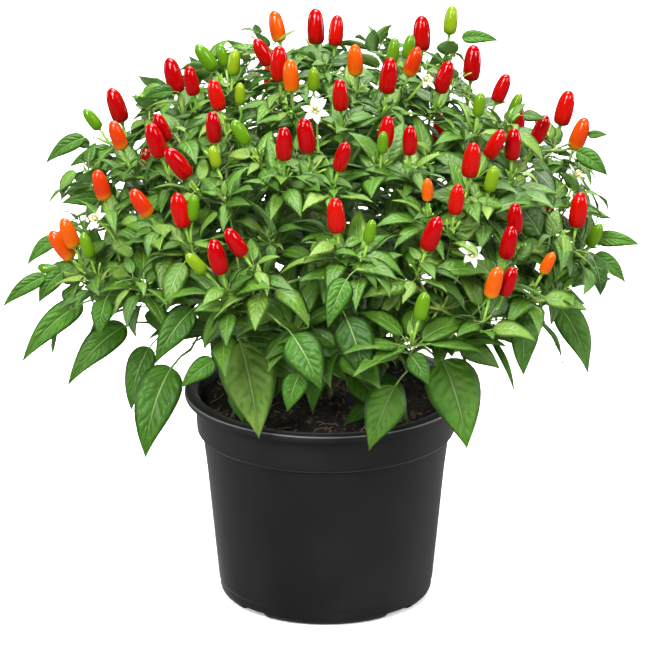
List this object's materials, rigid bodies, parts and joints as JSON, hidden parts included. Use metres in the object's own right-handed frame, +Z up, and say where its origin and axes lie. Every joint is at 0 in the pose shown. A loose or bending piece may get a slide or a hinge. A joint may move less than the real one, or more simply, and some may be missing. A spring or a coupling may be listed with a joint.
{
  "type": "potted chilli pepper plant",
  "caption": "Bushy ornamental chilli plant in a round black nursery pot, with upright bullet-shaped fruit in red, orange and green, and small white flowers.",
  "frame": {"origin": "centre of the flat pad in the middle of the pot's underside, on the surface that the pot stands on", "axes": "+Z up along the pot's axis; -Y is the front of the plant; +X to the right as seen from the front"},
  "size_m": [0.425, 0.3753, 0.3948],
  "materials": {
    "pot_plastic": "matte",
    "potting_soil": "matte",
    "stem_bark": "matte",
    "leaf": "satin",
    "fruit_red": "gloss",
    "fruit_orange": "gloss",
    "fruit_green": "gloss",
    "petal": "matte"
  },
  "bodies": {
    "root": {"branch_01": "stem_bark", "branch_02": "stem_bark", "branch_03": "stem_bark", "branch_04": "stem_bark", "branch_05": "stem_bark", "branch_06": "stem_bark", "branch_07": "stem_bark", "branch_08": "stem_bark", "branch_09": "stem_bark", "flower_01": "petal", "flower_02": "petal", "flower_03": "petal", "fruit_01": "fruit_orange", "fruit_02": "fruit_red", "fruit_03": "fruit_green", "fruit_04": "fruit_red", "fruit_05": "fruit_red", "fruit_06": "fruit_red", "fruit_07": "fruit_red", "fruit_08": "fruit_red", "fruit_09": "fruit_orange", "fruit_10": "fruit_red", "fruit_11": "fruit_red", "fruit_12": "fruit_red", "fruit_13": "fruit_red", "fruit_14": "fruit_red", "fruit_15": "fruit_red", "fruit_16": "fruit_red", "fruit_17": "fruit_red", "fruit_18": "fruit_red", "fruit_19": "fruit_orange", "fruit_20": "fruit_red", "fruit_21": "fruit_red", "fruit_22": "fruit_orange", "fruit_23": "fruit_red", "fruit_24": "fruit_orange", "fruit_25": "fruit_red", "fruit_26": "fruit_red", "leafy_shoot_01": "leaf", "leafy_shoot_02": "leaf", "leafy_shoot_03": "leaf", "leafy_shoot_04": "leaf", "leafy_shoot_05": "leaf", "leafy_shoot_06": "leaf", "leafy_shoot_07": "leaf", "leafy_shoot_08": "leaf", "leafy_shoot_09": "leaf", "leafy_shoot_10": "leaf", "leafy_shoot_11": "leaf", "leafy_shoot_12": "leaf", "leafy_shoot_13": "leaf", "leafy_shoot_14": "leaf", "leafy_shoot_15": "leaf", "leafy_shoot_16": "leaf", "leafy_shoot_17": "leaf", "leafy_shoot_18": "leaf", "main_stem": "stem_bark", "pot": "pot_plastic", "soil": "potting_soil"}
  },
  "joints": []
}
